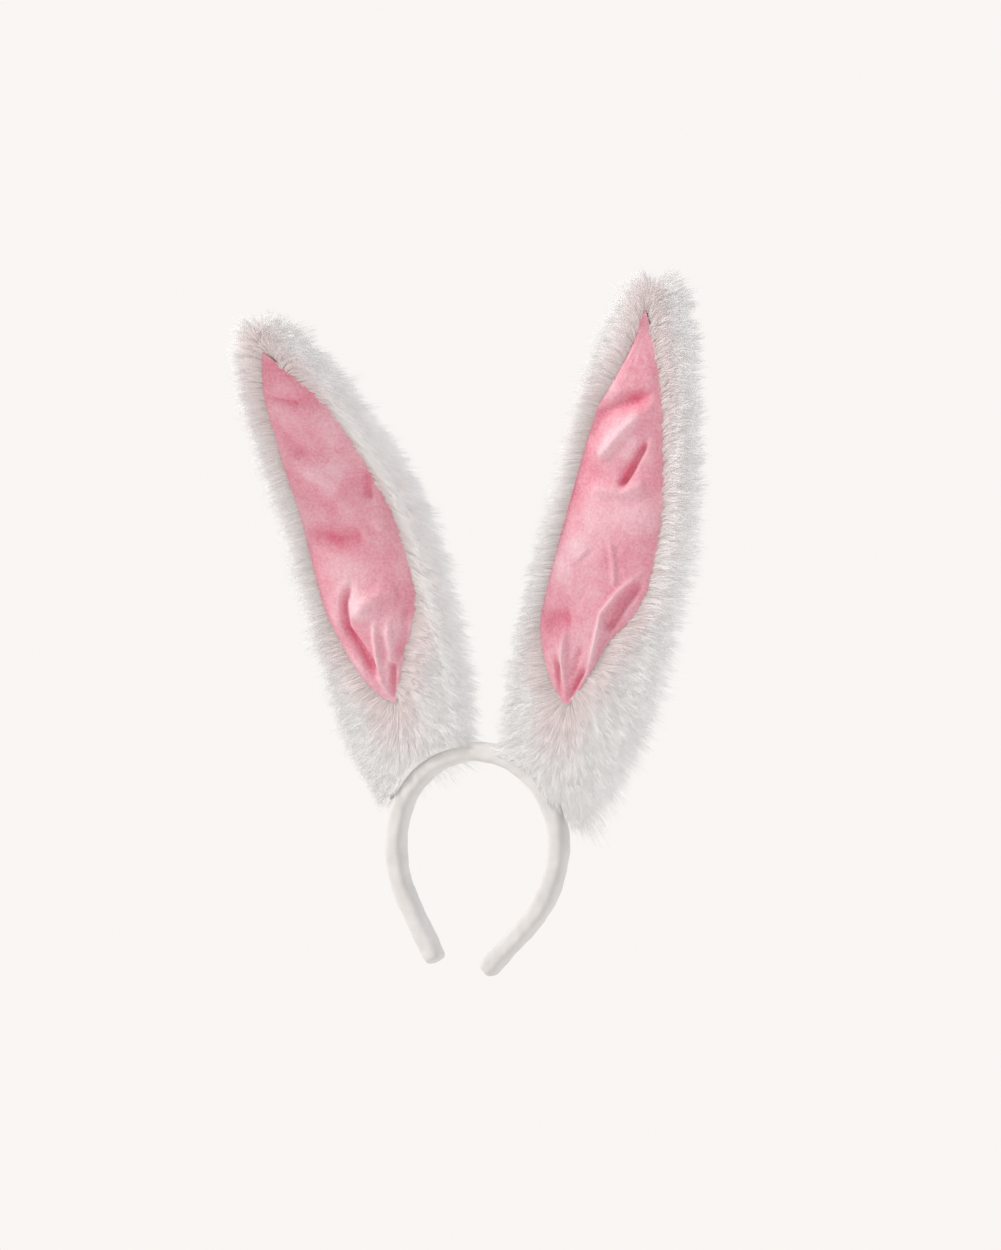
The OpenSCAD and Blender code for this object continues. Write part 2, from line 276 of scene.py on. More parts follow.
def cover_stretch(name, start, stop):
    """A stretch of the sleeve between two runs, closed at a tip."""
    rings = max(4, int(abs(stop - start) / 0.0016))
    runs = [start + (stop - start) * i / rings for i in range(rings + 1)]
    for tip in (-BAND_HALF, BAND_HALF):
        if min(abs(r - tip) for r in runs) < 1e-9:
            extra = [tip - math.copysign(TIP_ROUND * share, tip) for share in (0.08, 0.2, 0.4, 0.7)]
            runs = sorted(set(runs) | set(extra))
    points, faces = [], []
    for run in runs:
        points += cover_ring(run)
    for i in range(len(runs) - 1):
        for k in range(RING):
            a, b = i * RING + k, i * RING + (k + 1) % RING
            faces.append((a, b, b + RING, a + RING))
    for at, tip in ((0, -BAND_HALF), (len(runs) - 1, BAND_HALF)):
        if abs(runs[at] - tip) < 1e-9:
            place, out = band_point(tip)
            along = band_point(tip * 0.999)[0] - place
            along = along / np.linalg.norm(along)
            hole = [at * RING + k for k in range(RING)]
            for shrink, sink in ((0.55, -0.0002), (0.2, 0.0007)):
                base = len(points)
                for k in range(RING):
                    p = place + (points[hole[k]] - place) * shrink / (1 if shrink == 0.55 else 0.55)
                    fold = 0.00035 * math.sin(9 * 2 * math.pi * k / RING)
                    points.append(p + along * (sink + fold * shrink))
                new = [base + k for k in range(RING)]
                for k in range(RING):
                    quad = (hole[k], hole[(k + 1) % RING], new[(k + 1) % RING], new[k])
                    faces.append(quad if at else quad[::-1])
                hole = new
            points.append(place + along * 0.0016)
            for k in range(RING):
                tri = (hole[k], hole[(k + 1) % RING], len(points) - 1)
                faces.append(tri if at else tri[::-1])
    piece = mesh_piece(name, points, faces, [velour])
    return piece


split = MID_R * SPLIT_TURN
middle_cover = cover_stretch("band_cover_middle", -split, split)
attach(middle_cover, "crown")
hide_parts("crown_cover")
for side, sign in (("left", -1), ("right", 1)):
    runs = sorted((sign * split, sign * BAND_HALF))
    arm = cover_stretch(f"{side}_band_cover", *runs)
    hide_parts(f"{side}_arm_cover", f"{side}_tip_tuck")
    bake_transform(arm)

# ---------------------------------------------------------------- Strip, foam, tape and thread
# The hoop's springy strip is extruded polypropylene, wrapped in cut polyurethane foam. Cotton tape round
# the band holds each ear's foot, and polyester thread sews the tape down and closes the cover's back.
# These are the CAD's own solids, mostly out of sight, so they only take their finishes here.

def strip_material():
    """Extruded polypropylene: milky and satin, with faint draw lines about 0.5 mm apart along its length."""
    made, tree = empty_material("natural_polypropylene")
    where = add(tree, "ShaderNodeTexCoord")
    drawn = add(tree, "ShaderNodeMapping", {"Vector": where.outputs["Object"], "Scale": (120, 2000, 120)})
    lines = add(tree, "ShaderNodeTexNoise", {"Vector": drawn.outputs["Vector"], "Scale": 1.0, "Detail": 3.0})
    tone = add(tree, "ShaderNodeValToRGB", {"Fac": lines.outputs["Fac"]})
    tone.color_ramp.elements[0].color = linear("#D5D6D4")
    tone.color_ramp.elements[1].color = linear("#E9EAE8")
    gloss = add(tree, "ShaderNodeMapRange", {"Value": lines.outputs["Fac"], "To Min": 0.34, "To Max": 0.5})
    bump = add(tree, "ShaderNodeBump", {"Height": lines.outputs["Fac"], "Strength": 0.2, "Distance": 0.0001})
    plastic = add(tree, "ShaderNodeBsdfPrincipled", {
        "Base Color": tone.outputs["Color"], "Roughness": gloss.outputs["Result"],
        "Normal": bump.outputs["Normal"]})
    add(tree, "ShaderNodeOutputMaterial", {"Surface": plastic.outputs["BSDF"]})
    return made


def patterned(name, kind, pattern, output, tones, surface, relief=None, turned=None):
    """A material whose one pattern sets its two tones and its relief (strength, metres)."""
    made, tree = empty_material(name)
    where = add(tree, "ShaderNodeTexCoord").outputs["Object"]
    if turned:
        where = add(tree, "ShaderNodeMapping", {"Vector": where, "Rotation": turned}).outputs["Vector"]
    marks = add(tree, kind, {"Vector": where, **pattern}).outputs[output]
    tone = add(tree, "ShaderNodeValToRGB", {"Fac": marks})
    tone.color_ramp.elements[0].color = linear(tones[0])
    tone.color_ramp.elements[1].color = linear(tones[1])
    inputs = {"Base Color": tone.outputs["Color"], **surface}
    if relief:
        bump = add(tree, "ShaderNodeBump", {"Height": marks, "Strength": relief[0], "Distance": relief[1]})
        inputs["Normal"] = bump.outputs["Normal"]
    shader = add(tree, "ShaderNodeBsdfPrincipled", inputs)
    add(tree, "ShaderNodeOutputMaterial", {"Surface": shader.outputs["BSDF"]})
    return made


def foam_material():
    """Cut polyurethane foam: open cells about 0.6 mm across, creamy, with painted shade inside each cell."""
    return patterned("cut_polyurethane_foam", "ShaderNodeTexVoronoi", {"Scale": 1600.0}, "Distance",
                     ("#B9B19C", "#E6E0CF"), {"Roughness": 0.95, "Specular IOR Level": 0.2}, (0.7, 0.0003))


def tape_material():
    """Cotton twill tape: slanting ribs about 0.9 mm apart, slightly uneven, in off-white."""
    return patterned("cotton_twill_tape", "ShaderNodeTexWave", {"Scale": 350.0, "Distortion": 0.6}, "Fac",
                     ("#E2E0DD", "#F4F2EF"), {"Roughness": 0.9, "Specular IOR Level": 0.25}, (0.6, 0.0002),
                     (0.0, 0.6, 0.9))


def thread_material():
    """Twisted polyester thread: two plies that cross it every 0.5 mm, with a soft shine."""
    return patterned("white_polyester_thread", "ShaderNodeTexWave",
                     {"Scale": 630.0, "Distortion": 0.3}, "Fac",
                     ("#C9C6C3", "#F0EEEB"), {"Roughness": 0.5, "Sheen Weight": 0.2}, (0.6, 0.0001),
                     (0.5, 0.7, 0.0))


finishes = {"core": strip_material(), "foam": foam_material(), "tape": tape_material(),
            "seam": thread_material()}
finishes["stitches"] = finishes["seam"]
for name, node in frame["nodes"].items():
    finish = finishes.get(name.split("_")[-1])
    if finish:
        node.data.materials.clear()
        node.data.materials.append(finish)


# ---------------------------------------------------------------- Ear shape
# Each ear is a long leaf of cloth, sewn up as a flat bag round a wire frame and a little
# wadding. It leans forward where it leaves the band, and curls forward from mid-height.

EAR_LEN = 0.338             # cloth, from the band to its point
EAR_W = 0.072
EAR_WIDEST = 0.138          # height of the widest place
EAR_LOW = -0.042            # where the outline would close, below the band
EAR_HEM = {"left": -0.013, "right": -0.016}     # lowest cloth beside the band
HALF_T = 0.005
BEND_DEPTH = 0.0065         # depth of the bends' axes behind the middle of the cloth
FOOT_BEND, FOOT_ZONE = 0.042, 0.022
MIDDLE_BEND, MIDDLE_ZONE = 0.188, 0.034
STRETCH_SPLIT = 0.115       # height where each layer's low and high stretch meet
REST_CURL = {"left": math.radians(23), "right": math.radians(14.5)}


def smooth(share):
    """Nought to one, easing in and out."""
    share = np.clip(share, 0, 1)
    return share * share * (3 - 2 * share)


def ear_frame(side):
    """An ear's directions, and the line of its bends along its height."""
    lean = next(j for j in frame["joints"] if j["name"] == f"{side}_ear_lean")
    curl = next(j for j in frame["joints"] if j["name"] == f"{side}_ear_curl")
    sign = -1 if side == "left" else 1
    across = sign * np.array(lean["axis"], float)
    across /= np.linalg.norm(across)
    up = sign * np.array([-across[2], 0, across[0]])
    rise = np.array(curl["pos_m"]) - np.array(lean["pos_m"])
    forward = math.atan2(-rise[1], rise @ up)
    step = 0.0005
    heights = np.arange(-0.06, 0.42, step)
    turn = (forward * smooth((heights - FOOT_BEND) / (2 * FOOT_ZONE) + 0.5)
            + REST_CURL[side] * smooth((heights - MIDDLE_BEND) / (2 * MIDDLE_ZONE) + 0.5))
    back, rise = -np.cumsum(np.sin(turn)) * step, np.cumsum(np.cos(turn)) * step
    zero = np.searchsorted(heights, 0)
    return {"side": side, "sign": sign, "across": across, "up": up,
            "origin": np.array(lean["pos_m"]) - FOOT_BEND * up - np.array([0, BEND_DEPTH, 0]),
            "heights": heights, "turn": turn, "back": back - back[zero], "rise": rise - rise[zero]}


def on_ear(ear, flat):
    """Points of the flat ear (outwards, backwards, up) moved to their places on the bent ear."""
    turn = np.interp(flat[..., 2], ear["heights"], ear["turn"])
    off = flat[..., 1] - BEND_DEPTH
    back = BEND_DEPTH + np.interp(flat[..., 2], ear["heights"], ear["back"]) + off * np.cos(turn)
    rise = np.interp(flat[..., 2], ear["heights"], ear["rise"]) + off * np.sin(turn)
    return (ear["origin"] + flat[..., 0, None] * ear["across"] + rise[..., None] * ear["up"]
            + back[..., None] * np.array([0, 1, 0]))


def half_width(height, low=EAR_LOW, top=EAR_LEN, width=EAR_W, top_power=0.65, low_power=0.5):
    """Half the width of a leaf outline."""
    height = np.asarray(height, float)
    share = np.where(height < EAR_WIDEST, (EAR_WIDEST - height) / (EAR_WIDEST - low),
                     (height - EAR_WIDEST) / (top - EAR_WIDEST))
    power = np.where(height < EAR_WIDEST, low_power, top_power)
    return width / 2 * np.maximum(0, 1 - share * share) ** power


def foot_edge(ear, x, radius=BAND_T + CROWN_R + 0.0018):
    """Lowest height of the cloth at a place across the ear, where it meets the band."""
    start = ear["origin"]
    along, beside = start @ ear["up"], start @ ear["across"]
    inside = along ** 2 - (start @ start + x * x + 2 * x * beside - radius ** 2)
    beyond = np.where(inside < 0, -1, 0)
    return np.maximum(EAR_HEM[ear["side"]], -along + np.sqrt(np.maximum(inside, 0)) + beyond)


def bend_over(piece):
    """Bakes a layer's placement into its mesh."""
    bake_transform(piece)


ears = {side: ear_frame(side) for side in ("left", "right")}

# ---------------------------------------------------------------- Wadding and wire
# A thin fill of white polyester wadding fills each ear. Round the cloth's edge runs a soft
# steel wire in a white plastic coat, 1.6 mm thick, whose two legs stand in the foot.


def wadding_material():
    """Polyester wadding: loose white fibres in wisps about 2 mm across, so its surface is cloudy."""
    return patterned("polyester_wadding", "ShaderNodeTexNoise",
                     {"Scale": 500.0, "Detail": 5.0, "Distortion": 1.5}, "Fac",
                     ("#DAD9D6", "#F4F4F2"), {"Roughness": 0.95}, (0.6, 0.001))


def wire_material():
    """A white PVC coat drawn over steel wire: smooth, with faint marks about 3 mm long."""
    return patterned("pvc_coated_wire", "ShaderNodeTexNoise", {"Scale": 300.0}, "Fac",
                     ("#D2D1CE", "#ECEBE8"), {"Roughness": 0.35})


wadding_cloth, wire_coat = wadding_material(), wire_material()
WIRE_T = 0.0016
WIRE_IN = 0.0018            # from the cloth's edge to the middle of the wire
ROUND = 40                  # corners round a filled ear
WIRE_ROUND = 8


def section_rings(heights_of, count, width_share, half_t):
    """Rings round a filled ear: flat points, one row of ROUND for each height from low to high."""
    rows = []
    turn = 2 * np.pi * np.arange(ROUND) / ROUND
    for i in range(count + 1):
        height = heights_of(i / count, np.zeros(ROUND))
        for _ in range(6):
            x = half_width(height) * width_share * np.cos(turn)
            height = heights_of(i / count, x)
        thin = np.clip(half_width(height) / (EAR_W / 2) * 1.6, 0.15, 1)
        rows.append(np.stack([x, half_t * thin * np.sin(turn), height], axis=-1))
    return np.array(rows)


def ring_faces(rows, columns, start=0, closed=True):
    """Quads between neighbouring rings."""
    faces = []
    for i in range(rows - 1):
        for k in range(columns if closed else columns - 1):
            a, b = start + i * columns + k, start + i * columns + (k + 1) % columns
            faces.append((a, b, b + columns, a + columns))
    return faces


def cap_faces(start):
    """Faces that close a ring straight from front to back, so the cap follows the ring's curve."""
    faces = []
    for k in range(ROUND // 2):
        corners = dict.fromkeys((k, k + 1, (ROUND - k - 1) % ROUND, (ROUND - k) % ROUND))
        faces.append(tuple(start + corner for corner in corners))
    return faces


def stretch_heights(ear, high, below_top, above_band):
    """How high a stretch's rings stand, for a share of its climb and places across the ear."""
    def heights_of(share, x):
        """Heights of one ring, which follows the band at the foot."""
        low = STRETCH_SPLIT if high else foot_edge(ear, x) + above_band
        top = EAR_LEN - below_top if high else STRETCH_SPLIT
        return low + (top - low) * share + 0 * x
    return heights_of


for side, ear in ears.items():
    sign = ear["sign"]
    for stretch, high in (("low", False), ("high", True)):
        heights_of = stretch_heights(ear, high, 0.004, 0.001)
        rings = section_rings(heights_of, 40, 0.90, HALF_T * 0.62)
        points = on_ear(ear, rings).reshape(-1, 3)
        faces = ring_faces(len(rings), ROUND)
        faces += [face[::-1] for face in cap_faces(0)] + cap_faces(len(points) - ROUND)
        if sign < 0:
            faces = [face[::-1] for face in faces]
        fill = mesh_piece(f"{side}_ear_wadding_{stretch}", points, faces, [wadding_cloth])
        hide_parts(*([f"{side}_upper_wadding"] if high else [f"{side}_foot_wadding",
                                                                   f"{side}_lower_wadding"]))
        bend_over(fill)

        if high:
            climb = EAR_LEN - WIRE_IN - (EAR_LEN - WIRE_IN - STRETCH_SPLIT) * (1 - np.linspace(0, 1, 70)) ** 2
            reach = np.maximum(half_width(climb) - WIRE_IN, 0)
            line = np.concatenate([np.stack([reach, 0 * climb, climb], -1),
                                   np.stack([-reach, 0 * climb, climb], -1)[-2::-1]])
            lines = [line]
        else:
            lines = []
            for edge in (-1, 1):
                low = EAR_HEM[side]
                for _ in range(8):
                    low = foot_edge(ear, edge * (half_width(low) - WIRE_IN)) + 0.0015
                climb = np.linspace(float(low), STRETCH_SPLIT, 40)
                lines.append(np.stack([edge * (half_width(climb) - WIRE_IN), 0 * climb, climb], -1))
        points, faces = [], []
        for line in lines:
            start = sum(len(p) for p in points)
            along = np.gradient(line, axis=0)
            along /= np.linalg.norm(along, axis=1)[:, None]
            beside = np.cross(along, [0, 1, 0])
            turns = 2 * np.pi * np.arange(WIRE_ROUND) / WIRE_ROUND
            rings = (line[:, None] + WIRE_T / 2 * (beside[:, None] * np.cos(turns)[None, :, None]
                     + np.array([0, 1, 0]) * np.sin(turns)[None, :, None]))
            points.append(on_ear(ear, rings).reshape(-1, 3))
            faces += ring_faces(len(line), WIRE_ROUND, start)
            stop = start + WIRE_ROUND * len(line)
            faces += [tuple(range(start, start + WIRE_ROUND))[::-1], tuple(range(stop - WIRE_ROUND, stop))]
        wire = mesh_piece(f"{side}_ear_wire_{stretch}", np.concatenate(points), faces, [wire_coat])
        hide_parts(*([f"{side}_upper_wire"] if high else [f"{side}_foot_wire", f"{side}_lower_wire"]))
        bend_over(wire)

# ---------------------------------------------------------------- Pink lining
# A leaf of pink polyester plush with a pile of about a millimetre, cut larger than the
# front and sewn in slack. It puckers along its edge, gathers into pleats at its bottom
# point, and creases across where the ear bends.

LINING_LOW, LINING_TOP, LINING_W = 0.053, 0.326, 0.070
LINING_FOOT_POWER = 0.86


def lining_half(height):
    """Half the width of the lining that shows."""
    return half_width(height, LINING_LOW, LINING_TOP, LINING_W, 0.9, LINING_FOOT_POWER)


LINING_TRIM = {     # how the outline is eased at each side: heights, then shares of the half width
    ("left", True): ([0.053, 0.059, 0.068, 0.082, 0.101, 0.122, 0.210, 0.244, 0.269, 0.295, 0.326],
                     [0.90, 0.60, 0.62, 0.68, 0.86, 1.0, 1.0, 1.18, 1.30, 1.30, 1.1]),
    ("left", False): ([0.053, 0.059, 0.068, 0.082, 0.101, 0.122, 0.260, 0.295, 0.326],
                      [1.0, 1.30, 1.12, 1.03, 0.96, 1.0, 1.0, 1.2, 1.1]),
    ("right", True): ([0.053, 0.060, 0.074, 0.100, 0.122, 0.142, 0.240, 0.268, 0.309, 0.326],
                      [0.90, 0.60, 0.56, 0.60, 0.88, 1.0, 1.0, 1.06, 1.12, 1.0]),
    ("right", False): ([0.053, 0.060, 0.074, 0.100, 0.122, 0.142, 0.255, 0.290, 0.309, 0.326],
                       [1.0, 1.30, 1.20, 1.14, 1.04, 1.0, 1.0, 0.62, 0.38, 0.5]),
}


def lining_reach(side, to_right, height):
    """How far the lining reaches towards a viewer's right or left of the ear's middle."""
    right = np.interp(height, *LINING_TRIM[side, True])
    left = np.interp(height, *LINING_TRIM[side, False])
    reach = lining_half(height) * np.where(to_right, right, left)
    return np.minimum(reach, half_width(height) - 0.0012)


def plush_material():
    """Short plush: matt, with painted shade deep in its folds and a painted highlight on their ridges, and paler
    where its pile is seen from the side.
    """
    made, tree = empty_material("pink_plush")
    where = add(tree, "ShaderNodeTexCoord")
    # brushed patches about 33 mm across
    brushed = add(tree, "ShaderNodeTexNoise", {
        "Vector": where.outputs["Object"], "Scale": 30.0, "Detail": 5.0, "Roughness": 0.6})
    # painted shade and highlight: the lining is darker pink where it lies back in its folds' valleys and paler on
    # their ridges
    fold_shade_input = add(tree, "ShaderNodeAttribute", attribute_name="nap_and_fold_shade")
    fold_shade_offset = add(tree, "ShaderNodeMapRange", {
        "Value": fold_shade_input.outputs["Fac"], "From Min": -1.1, "From Max": 1.1,
        "To Min": -0.18, "To Max": 0.18})
    calm = add(tree, "ShaderNodeMapRange", {
        "Value": brushed.outputs["Fac"], "To Min": 0.16, "To Max": 0.84})
    level = add(tree, "ShaderNodeMath", {
        0: calm.outputs["Result"], 1: fold_shade_offset.outputs["Result"]}, operation="ADD")
    tone = add(tree, "ShaderNodeValToRGB", {"Fac": level.outputs["Value"]})
    ramp = tone.color_ramp.elements
    ramp[0].position, ramp[0].color = 0.16, linear("#E2607A")
    ramp[1].position, ramp[1].color = 0.82, linear("#F8DAE1")
    for place, colour in ((0.34, "#E08A9D"), (0.50, "#E7A5B3"), (0.64, "#EEBEC8")):
        stop = ramp.new(place)
        stop.color = linear(colour)
    # pile in clumps of 1.8 mm: its fibres of 0.03 mm are too fine to show, so it is drawn coarser
    pile = add(tree, "ShaderNodeTexNoise", {
        "Vector": where.outputs["Object"], "Scale": 560.0, "Detail": 4.0, "Roughness": 0.75})
    grain = add(tree, "ShaderNodeMapRange", {
        "Value": pile.outputs["Fac"], "From Min": 0.38, "From Max": 0.62,
        "To Min": 0.28, "To Max": 0.72})
    speck = add(tree, "ShaderNodeMix", {0: 0.6, 6: tone.outputs["Color"], 7: grain.outputs["Result"]},
                data_type="RGBA", blend_type="SOFT_LIGHT")
    # crushed places about 4 mm across
    crush_and_fold_shade = add(tree, "ShaderNodeTexNoise", {
        "Vector": where.outputs["Object"], "Scale": 260.0, "Detail": 4.0})
    nap_and_fold_shade = add(tree, "ShaderNodeBump", {"Height": pile.outputs["Fac"], "Strength": 0.5, "Distance": 0.0004})
    bump = add(tree, "ShaderNodeBump", {"Height": crush_and_fold_shade.outputs["Fac"], "Strength": 0.45,
                                        "Distance": 0.0008, "Normal": nap_and_fold_shade.outputs["Normal"]})
    cloth = add(tree, "ShaderNodeBsdfPrincipled", {
        "Base Color": speck.outputs[2], "Roughness": 0.9, "Sheen Weight": 0.5, "Sheen Roughness": 0.35,
        "Sheen Tint": linear("#FFE4EA"), "Specular IOR Level": 0.15, "Normal": bump.outputs["Normal"]})
    add(tree, "ShaderNodeOutputMaterial", {"Surface": cloth.outputs["BSDF"]})
    return made


plush = plush_material()
LINING_ROWS, LINING_COLUMNS = 200, 56
LINING_GAP = 0.0012         # from the cloth's front to the back of the lining
LINING_SEED = {"left": 11, "right": 23}
SETTLE_STEPS = 25
SIM_SCALE = 10              # the cloth solver is steadier on a larger piece

# Folds of each lining in millimetres, as lines of places (rightwards, up from the band),
# then the fold's half width, and its height: forward is positive.
FOLDS = {
    "left": [
        ([(-5, 143), (-16, 127), (-19, 110), (-13, 95), (-8, 74)], 2.8, -5.0),
        ([(-10, 92), (-7, 80), (-6, 72)], 3.6, -2.6),
        ([(-30, 128), (-26, 98), (-15, 77), (-7, 60)], 4.4, 3.0),
        ([(-14, 112), (-2, 124), (14, 131), (24, 127)], 6.0, 3.4),
        ([(3, 116), (-1, 95), (-5, 74), (-1, 56)], 2.2, 3.4),
        ([(8, 84), (4, 70), (1, 56)], 2.2, -5.4),
        ([(28, 122), (21, 102), (13, 84)], 3.0, -3.2),
        ([(12, 112), (9, 95), (7, 80)], 2.8, 2.2),
        ([(-31, 184), (-18, 174), (-6, 170), (12, 173)], 8.5, -2.9),
        ([(-22, 276), (-13, 256), (-8, 240)], 7.0, -2.8),
        ([(29, 222), (25, 210), (22, 199)], 2.6, -5.0),
        ([(33, 206), (28, 190), (22, 172)], 5.0, 2.2),
        ([(-14, 292), (8, 283)], 2.4, -2.2),
        ([(-12, 232), (8, 214)], 9.0, 2.2),
        ([(-30, 214), (-14, 200), (2, 196)], 6.0, -1.8),
    ],
    "right": [
        ([(17, 275), (-8, 259), (-22, 247), (-27, 228)], 5.4, -4.6),
        ([(10, 262), (-4, 242), (-17, 220)], 4.2, 3.4),
        ([(15, 243), (8, 223), (2, 204)], 2.4, -6.0),
        ([(-22, 198), (0, 202), (20, 212)], 6.0, 3.0),
        ([(28, 152), (17, 136), (10, 120), (10, 100), (11, 80), (4, 60)], 1.9, 4.4),
        ([(32, 150), (21, 128), (15, 108)], 3.2, -4.2),
        ([(7, 82), (4, 70), (1, 57)], 2.4, -5.4),
        ([(-13, 104), (-9, 84), (-5, 66), (-1, 55)], 2.2, 3.8),
        ([(-14, 82), (-9, 68), (-4, 57)], 2.0, -4.8),
        ([(-30, 97), (-22, 105), (-10, 110)], 7.5, -3.8),
        ([(2, 96), (1, 84), (0, 72)], 2.4, -2.0),
        ([(2, 168), (9, 152), (13, 138)], 1.8, 2.0),
        ([(-26, 160), (-12, 150)], 8.0, 2.2),
        ([(-24, 130), (-4, 126)], 8.0, -1.6),
    ],
}


def fold_height(x, z, folds):
    """How far the folds stand forward at places on a lining, in metres."""
    total = np.zeros_like(x)
    for line, width, height in folds:
        line = np.array(line) / 1000
        best = np.full(x.shape, 1e9)
        fade = np.zeros_like(x)
        runs = np.concatenate([[0], np.cumsum(np.linalg.norm(np.diff(line, axis=0), axis=1))])
        for i in range(len(line) - 1):
            step = line[i + 1] - line[i]
            t = np.clip(((x - line[i][0]) * step[0] + (z - line[i][1]) * step[1]) / (step @ step), 0, 1)
            gap = np.hypot(x - line[i][0] - t * step[0], z - line[i][1] - t * step[1])
            run = (runs[i] + t * (runs[i + 1] - runs[i])) / runs[-1]
            closer = gap < best
            best = np.where(closer, gap, best)
            fade = np.where(closer, run, fade)
        taper = smooth(fade / 0.25) * smooth((1 - fade) / 0.12) * 0.85 + 0.15
        total += height / 1000 * taper * np.exp(-(best / (width / 1000)) ** 2)
    return total


def slack_lining(side, seed):
    """The lining before the ear is bent: pinned round its edge, folded, and settled as slack cloth."""
    rng = np.random.default_rng(seed)
    sign = -1 if side == "left" else 1
    share = np.linspace(0.003, 0.997, LINING_ROWS)
    height = LINING_LOW + (LINING_TOP - LINING_LOW) * share
    spread = np.linspace(-1, 1, LINING_COLUMNS)
    x = lining_reach(side, (spread * sign > 0)[None, :], height[:, None]) * spread[None, :]
    z = np.repeat(height[:, None], LINING_COLUMNS, axis=1)
    crown = HALF_T * np.sqrt(np.maximum(0, 1 - (x / (half_width(z) + 1e-6)) ** 2))
    inner = (1 - spread[None, :] ** 4) * np.minimum(1, np.sin(np.pi * share) * 3)[:, None]
    puff = 0.0026 * inner * (lining_half(height) / 0.035)[:, None] ** 0.7
    sway = np.zeros_like(x)
    for i in range(7):
        long, wide, phase = rng.uniform(60, 220), rng.uniform(-160, 160), rng.uniform(0, 6.3)
        sway += 0.0003 * np.sin(z * long + x * wide + phase)
    folds = fold_height(x * sign, z, FOLDS[side])
    forward = puff + (folds + sway) * inner
    flat = np.stack([x, -crown - LINING_GAP - forward, z], axis=-1)
    flat = settle(side, flat)
    share_out = flat[..., 0] / (half_width(flat[..., 2]) + 1e-6)
    lowest = -HALF_T * 0.66 * np.sqrt(np.maximum(0, 1 - share_out ** 2))
    flat[..., 1] = np.minimum(flat[..., 1], lowest - 0.0002)
    # how far the cloth stands forward of its puffed base, kept to paint shade into the folds' valleys and
    # highlight onto their ridges
    crush_and_fold_shade = np.clip((-flat[..., 1] - crown - LINING_GAP - puff * 0.8) / 0.0034, -1.2, 1.2)
    return flat, crush_and_fold_shade


def settle(side, flat):
    """A short cloth simulation: the lining is cut a little larger than its folds and pinned at its seam."""
    cut = flat * np.array([1.02, 1.0, 1.012]) - np.array([0, 0, 0.012]) * LINING_LOW
    piece = mesh_piece(f"{side}_lining_work", flat.reshape(-1, 3) * SIM_SCALE,
                       ring_faces(LINING_ROWS, LINING_COLUMNS, closed=False), [])
    piece.shape_key_add(name="sewn")
    rest = piece.shape_key_add(name="cut")
    rest.data.foreach_set("co", (cut.reshape(-1, 3) * SIM_SCALE).ravel())
    rest.value = 0
    rows, columns = np.divmod(np.arange(LINING_ROWS * LINING_COLUMNS), LINING_COLUMNS)
    rim = (rows == 0) | (rows == LINING_ROWS - 1) | (columns == 0) | (columns == LINING_COLUMNS - 1)
    pins = piece.vertex_groups.new(name="seam")
    pins.add([int(i) for i in np.nonzero(rim)[0]], 1.0, "REPLACE")
    cloth = piece.modifiers.new("slack", "CLOTH")
    how = cloth.settings
    how.quality = 6
    how.mass = 0.15
    how.tension_stiffness = how.compression_stiffness = 25
    how.shear_stiffness = 12
    how.bending_stiffness = 2.5
    how.tension_damping = how.compression_damping = how.shear_damping = 8
    how.bending_damping = 1.5
    how.air_damping = 6
    how.effector_weights.gravity = 0
    how.vertex_group_mass = "seam"
    how.rest_shape_key = rest
    how.use_pressure = True
    how.uniform_pressure_force = 0.25
    cloth.collision_settings.use_collision = False
    cloth.point_cache.frame_end = 40
    for step in range(1, SETTLE_STEPS + 1):
        bpy.context.scene.frame_set(step)
    seen = piece.evaluated_get(bpy.context.evaluated_depsgraph_get())
    done = np.empty(LINING_ROWS * LINING_COLUMNS * 3)
    seen.data.vertices.foreach_get("co", done)
    bpy.context.scene.frame_set(1)
    bpy.data.objects.remove(piece, do_unlink=True)
    return done.reshape(flat.shape) / SIM_SCALE


for side, ear in ears.items():
    sewn, crush_and_fold_shade = slack_lining(side, LINING_SEED[side])
    split_row = int(np.argmin(np.abs(sewn[:, LINING_COLUMNS // 2, 2] - STRETCH_SPLIT)))
    for stretch, high in (("low", False), ("high", True)):
        part = sewn[split_row:] if high else sewn[:split_row + 1]
        faces = ring_faces(len(part), LINING_COLUMNS, closed=False)
        if ear["sign"] < 0:
            faces = [face[::-1] for face in faces]
        lining = mesh_piece(f"{side}_ear_lining_{stretch}", on_ear(ear, part).reshape(-1, 3), faces, [plush])
        # the folds' painted shade and highlight go with each stretch as a point attribute
        stretch_fold_shade = crush_and_fold_shade[split_row:] if high else crush_and_fold_shade[:split_row + 1]
        lining.data.attributes.new("nap_and_fold_shade", "FLOAT", "POINT").data.foreach_set(
            "value", stretch_fold_shade.astype(np.float32).ravel())
        finer = lining.modifiers.new("finer", "SUBSURF")
        finer.levels = finer.render_levels = 1
        bpy.context.view_layer.objects.active = lining
        bpy.ops.object.modifier_apply(modifier="finer")
        low, top = (STRETCH_SPLIT, LINING_TOP) if high else (LINING_LOW, STRETCH_SPLIT)
        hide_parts(f"{side}_{'upper' if high else 'lower'}_lining")
        bend_over(lining)

# ---------------------------------------------------------------- Faux fur
# The back and the edges of each ear are one panel of white faux fur: a knitted backing
# with a soft acrylic pile about 17 mm long. The pile lies longest towards the right, and
# below the lining it closes round the foot and hangs a little over and behind the band.

PILE = 0.017
HAIR_R = 0.00022            # at the root: real hairs are a tenth of it, too fine and too many to draw
HAIRS_PER_TUFT = 9
HAIR_CORNERS, HAIR_FACES = 10, 9
EDGE, FRONT, BACK, MARGIN = 0, 1, 2, 3      # kinds of root, by where on the cloth they are
ROOTS = {EDGE: 19000, FRONT: 70000, BACK: 34000, MARGIN: 2200}
PILE_SEED = {"left": 101, "right": 202}


